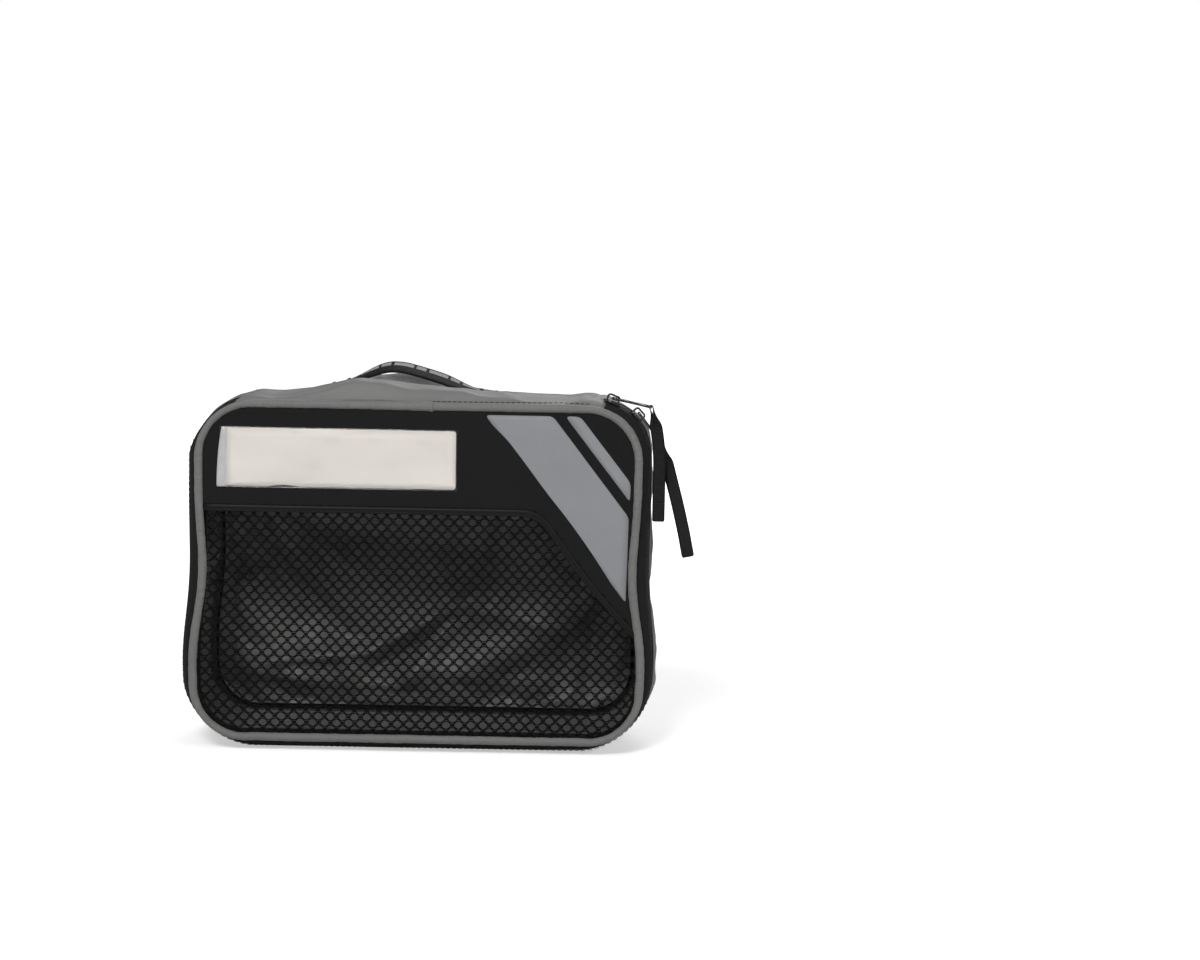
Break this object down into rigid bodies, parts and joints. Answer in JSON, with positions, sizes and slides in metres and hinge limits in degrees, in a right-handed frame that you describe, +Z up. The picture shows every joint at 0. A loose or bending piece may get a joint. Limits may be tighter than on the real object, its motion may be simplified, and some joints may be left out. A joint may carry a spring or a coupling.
{
  "type": "packing cube",
  "caption": "Soft fabric packing cube with a hinged zip-round mesh front panel, clear label pocket, piping and a webbing grab handle.",
  "frame": {"origin": "middle of the flat base that the cube stands on", "axes": "+X to the right of the front panel and the longest extent, -Y out of the front panel, +Z up"},
  "size_m": [0.2623, 0.08, 0.1981],
  "materials": {
    "gusset_fabric": "grey ripstop polyester, fine square grid, light wrinkles",
    "piping_fabric": "grey polyester wrapped over a round cord",
    "binding_tape": "black woven seam binding",
    "zip_tape": "black woven zip tape, smooth reverse-coil face",
    "zip_coil": "black nylon coil",
    "webbing": "black woven webbing with a plain dashed white stripe",
    "thread": "black polyester thread",
    "net": "black knitted polyester net with open cells",
    "coated_fabric": "black coated polyester, smooth with a soft sheen",
    "print_film": "grey heat-pressed film",
    "card": "off-white card",
    "clear_film": "clear soft vinyl, glossy",
    "slider_metal": "black enamelled zinc, semi-gloss",
    "ribbon": "black grosgrain ribbon"
  },
  "bodies": {
    "case": {"top_gusset": "gusset_fabric", "side_gusset": "gusset_fabric", "back_panel": "gusset_fabric", "back_piping": "piping_fabric", "back_binding": "binding_tape", "case_zip_tape": "zip_tape", "case_zip_coil": "zip_coil", "handle": "webbing", "handle_bartacks": "thread"},
    "lid": {"mesh_panel": "net", "yoke_panel": "coated_fabric", "yoke_hem": "coated_fabric", "print_bands": "print_film", "label_card": "card", "label_window": "clear_film", "front_piping": "piping_fabric", "front_binding": "binding_tape", "lid_zip_tape": "zip_tape", "lid_zip_coil": "zip_coil"},
    "slider_a": {"slider_a": "slider_metal"},
    "puller_a": {"puller_a": "slider_metal"},
    "ribbon_a": {"ribbon_a": "ribbon"},
    "slider_b": {"slider_b": "slider_metal"},
    "puller_b": {"puller_b": "slider_metal"},
    "ribbon_b": {"ribbon_b": "ribbon"}
  },
  "joints": [
    {"name": "lid_fold", "type": "hinge", "parent": "case", "child": "lid", "pos_m": [0, -0.036, 0.183], "axis": [-1, 0, 0], "range_deg": [0, 180]},
    {"name": "slider_a_run", "type": "hinge", "parent": "case", "child": "slider_a", "pos_m": [0.085, -0.026, 0.152], "axis": [0, 1, 0], "range_deg": [0, 38]},
    {"name": "puller_a_lift", "type": "hinge", "parent": "slider_a", "child": "puller_a", "pos_m": [0.11164, -0.026, 0.17599], "axis": [0, -1, 0], "range_deg": [0, 60]},
    {"name": "ribbon_a_hang", "type": "hinge", "parent": "puller_a", "child": "ribbon_a", "pos_m": [0.12371, -0.026, 0.16054], "axis": [0, -1, 0], "range_deg": [0, 38]},
    {"name": "slider_b_run", "type": "hinge", "parent": "case", "child": "slider_b", "pos_m": [0.085, -0.026, 0.152], "axis": [0, 1, 0], "range_deg": [0, 5]},
    {"name": "puller_b_lift", "type": "hinge", "parent": "slider_b", "child": "puller_b", "pos_m": [0.09843, -0.026, 0.18524], "axis": [0, -1, 0], "range_deg": [0, 110]},
    {"name": "ribbon_b_hang", "type": "hinge", "parent": "puller_b", "child": "ribbon_b", "pos_m": [0.1176, -0.026, 0.18116], "axis": [0, -1, 0], "range_deg": [0, 5]}
  ],
  "couplings": [
    {"joint": "ribbon_a_hang", "follows": "slider_a_run", "ratio": 1},
    {"joint": "ribbon_b_hang", "follows": "slider_b_run", "ratio": 1}
  ]
}
